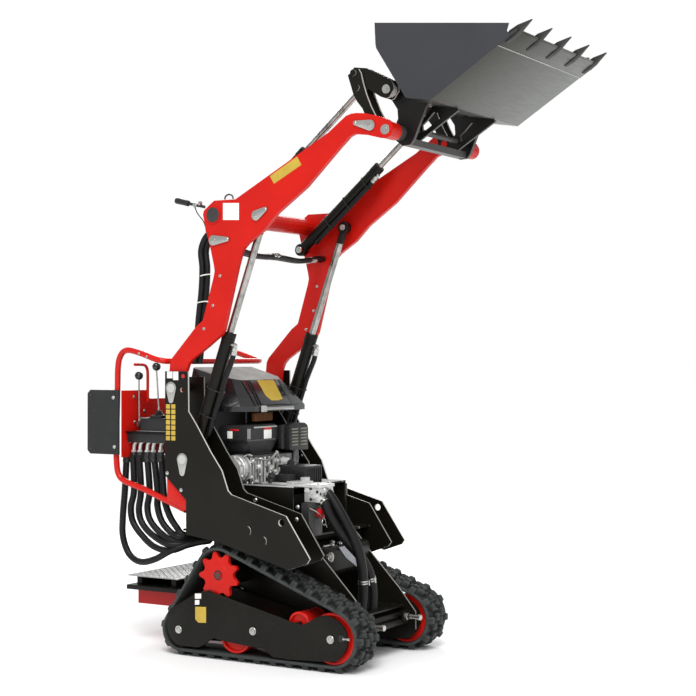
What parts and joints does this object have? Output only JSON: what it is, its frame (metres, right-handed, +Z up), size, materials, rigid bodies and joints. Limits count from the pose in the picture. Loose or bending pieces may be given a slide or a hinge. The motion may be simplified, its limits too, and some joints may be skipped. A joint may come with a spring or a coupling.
{
  "type": "mini skid steer loader",
  "caption": "Compact stand-on tracked loader with raised lift arms, a toothed bucket, hydraulic cylinders and an open engine bay.",
  "frame": {"origin": "on the ground under the middle of the whole box", "axes": "+X towards the bucket, +Y to the machine's left, +Z up"},
  "size_m": [2.0012, 0.752, 2.424],
  "materials": {
    "arm_hose_left": "black rubber",
    "arm_hose_right": "black rubber",
    "bucket": "satin dark grey paint",
    "chassis_frame": "satin black paint",
    "control_valves": "satin black paint",
    "coupler": "satin black paint",
    "cutting_edge": "bare worn steel",
    "engine_block": "cast aluminium",
    "front_hose_a": "black rubber",
    "front_hose_b": "black rubber",
    "front_idler_left": "gloss red paint",
    "front_idler_right": "gloss red paint",
    "fuel_tank": "moulded plastic",
    "guard": "gloss red paint",
    "hood": "moulded plastic",
    "hydraulic_tank": "satin black paint",
    "lift_arms": "gloss red paint",
    "lift_barrel_left": "satin black paint",
    "lift_barrel_right": "satin black paint",
    "lift_rod_left": "hard chrome",
    "lift_rod_right": "hard chrome",
    "lower_roller_left": "gloss red paint",
    "lower_roller_right": "gloss red paint",
    "muffler": "satin black paint",
    "platform": "satin black paint",
    "platform_bracket": "gloss red paint",
    "pump_manifold": "cast aluminium",
    "rear_hoses": "black rubber",
    "rear_idler_left": "gloss red paint",
    "rear_idler_right": "gloss red paint",
    "rear_panel": "gloss red paint",
    "rocker_left": "satin black paint",
    "rocker_right": "satin black paint",
    "side_plate_left": "satin black paint",
    "side_plate_right": "satin black paint",
    "sprocket_left": "gloss red paint",
    "sprocket_right": "gloss red paint",
    "switch_box": "satin dark grey paint",
    "tilt_barrel_left": "satin black paint",
    "tilt_barrel_right": "satin black paint",
    "tilt_link_left": "satin black paint",
    "tilt_link_right": "satin black paint",
    "tilt_rod_left": "hard chrome",
    "tilt_rod_right": "hard chrome",
    "track_frame_left": "satin black paint",
    "track_frame_right": "satin black paint",
    "track_left": "black rubber",
    "track_right": "black rubber",
    "upper_roller_left": "gloss red paint",
    "upper_roller_right": "gloss red paint",
    "valve_bank": "satin black paint",
    "wing_left": "moulded plastic",
    "wing_right": "moulded plastic"
  },
  "bodies": {
    "chassis": {"chassis_frame": "chassis_frame", "control_valves": "control_valves", "engine_block": "engine_block", "front_hose_a": "front_hose_a", "front_hose_b": "front_hose_b", "front_idler_left": "front_idler_left", "front_idler_right": "front_idler_right", "fuel_tank": "fuel_tank", "guard": "guard", "hood": "hood", "hydraulic_tank": "hydraulic_tank", "lower_roller_left": "lower_roller_left", "lower_roller_right": "lower_roller_right", "muffler": "muffler", "platform": "platform", "platform_bracket": "platform_bracket", "pump_manifold": "pump_manifold", "rear_hoses": "rear_hoses", "rear_idler_left": "rear_idler_left", "rear_idler_right": "rear_idler_right", "rear_panel": "rear_panel", "side_plate_left": "side_plate_left", "side_plate_right": "side_plate_right", "sprocket_left": "sprocket_left", "sprocket_right": "sprocket_right", "switch_box": "switch_box", "track_frame_left": "track_frame_left", "track_frame_right": "track_frame_right", "track_left": "track_left", "track_right": "track_right", "upper_roller_left": "upper_roller_left", "upper_roller_right": "upper_roller_right", "valve_bank": "valve_bank", "wing_left": "wing_left", "wing_right": "wing_right"},
    "arms": {"lift_arms": "lift_arms", "arm_hose_left": "arm_hose_left", "arm_hose_right": "arm_hose_right"},
    "bucket": {"bucket": "bucket", "cutting_edge": "cutting_edge", "coupler": "coupler"},
    "left lift barrel": {"lift_barrel_left": "lift_barrel_left"},
    "left lift rod": {"lift_rod_left": "lift_rod_left"},
    "left tilt barrel": {"tilt_barrel_left": "tilt_barrel_left"},
    "left tilt rod": {"tilt_rod_left": "tilt_rod_left"},
    "left rocker": {"rocker_left": "rocker_left"},
    "left link": {"tilt_link_left": "tilt_link_left"},
    "right lift barrel": {"lift_barrel_right": "lift_barrel_right"},
    "right lift rod": {"lift_rod_right": "lift_rod_right"},
    "right tilt barrel": {"tilt_barrel_right": "tilt_barrel_right"},
    "right tilt rod": {"tilt_rod_right": "tilt_rod_right"},
    "right rocker": {"rocker_right": "rocker_right"},
    "right link": {"tilt_link_right": "tilt_link_right"}
  },
  "joints": [
    {"name": "arm_lift", "type": "hinge", "parent": "chassis", "child": "arms", "pos_m": [-0.5646, 0, 1.066], "axis": [0, 1, 0], "range_deg": [0, 88]},
    {"name": "bucket_tilt", "type": "hinge", "parent": "arms", "child": "bucket", "pos_m": [0.4124, 0, 2.029], "axis": [0, 1, 0], "range_deg": [-50, 75]},
    {"name": "left_lift_barrel_pivot", "type": "hinge", "parent": "chassis", "child": "left lift barrel", "pos_m": [-0.5086, 0.302, 0.782], "axis": [0, 1, 0], "range_deg": [-2, 80]},
    {"name": "left_lift_rod_slide", "type": "slide", "parent": "left lift barrel", "child": "left lift rod", "axis": [0.34, 0, 0.9404], "range_m": [-0.386, 0.005]},
    {"name": "left_rocker_pivot", "type": "hinge", "parent": "arms", "child": "left rocker", "pos_m": [0.3424, 0.285, 2.051], "axis": [0, 1, 0], "range_deg": [-50, 76]},
    {"name": "left_tilt_barrel_pivot", "type": "hinge", "parent": "arms", "child": "left tilt barrel", "pos_m": [-0.3676, 0.285, 1.65], "axis": [0, 1, 0], "range_deg": [-4, 6]},
    {"name": "left_tilt_rod_slide", "type": "slide", "parent": "left tilt barrel", "child": "left tilt rod", "axis": [0.7569, 0, 0.6535], "range_m": [-0.115, 0.18]},
    {"name": "left_link_pivot", "type": "hinge", "parent": "bucket", "child": "left link", "pos_m": [0.3894, 0.285, 2.187], "axis": [0, 1, 0], "range_deg": [-46, 31]},
    {"name": "right_lift_barrel_pivot", "type": "hinge", "parent": "chassis", "child": "right lift barrel", "pos_m": [-0.5086, -0.302, 0.782], "axis": [0, 1, 0], "range_deg": [-2, 80]},
    {"name": "right_lift_rod_slide", "type": "slide", "parent": "right lift barrel", "child": "right lift rod", "axis": [0.34, 0, 0.9404], "range_m": [-0.386, 0.005]},
    {"name": "right_rocker_pivot", "type": "hinge", "parent": "arms", "child": "right rocker", "pos_m": [0.3424, -0.285, 2.051], "axis": [0, 1, 0], "range_deg": [-50, 76]},
    {"name": "right_tilt_barrel_pivot", "type": "hinge", "parent": "arms", "child": "right tilt barrel", "pos_m": [-0.3676, -0.285, 1.65], "axis": [0, 1, 0], "range_deg": [-4, 6]},
    {"name": "right_tilt_rod_slide", "type": "slide", "parent": "right tilt barrel", "child": "right tilt rod", "axis": [0.7569, 0, 0.6535], "range_m": [-0.115, 0.18]},
    {"name": "right_link_pivot", "type": "hinge", "parent": "bucket", "child": "right link", "pos_m": [0.3894, -0.285, 2.187], "axis": [0, 1, 0], "range_deg": [-46, 31]}
  ],
  "couplings": [
    {"joint": "left_lift_barrel_pivot", "follows": "arm_lift", "ratio": 0.8935},
    {"joint": "left_lift_rod_slide", "follows": "arm_lift", "m_per_rad": -0.2474},
    {"joint": "left_rocker_pivot", "follows": "bucket_tilt", "ratio": 0.84},
    {"joint": "left_tilt_barrel_pivot", "follows": "bucket_tilt", "ratio": 0.055},
    {"joint": "left_tilt_rod_slide", "follows": "bucket_tilt", "m_per_rad": 0.108},
    {"joint": "left_link_pivot", "follows": "bucket_tilt", "ratio": -0.58},
    {"joint": "right_lift_barrel_pivot", "follows": "arm_lift", "ratio": 0.8935},
    {"joint": "right_lift_rod_slide", "follows": "arm_lift", "m_per_rad": -0.2474},
    {"joint": "right_rocker_pivot", "follows": "bucket_tilt", "ratio": 0.84},
    {"joint": "right_tilt_barrel_pivot", "follows": "bucket_tilt", "ratio": 0.055},
    {"joint": "right_tilt_rod_slide", "follows": "bucket_tilt", "m_per_rad": 0.108},
    {"joint": "right_link_pivot", "follows": "bucket_tilt", "ratio": -0.58}
  ]
}
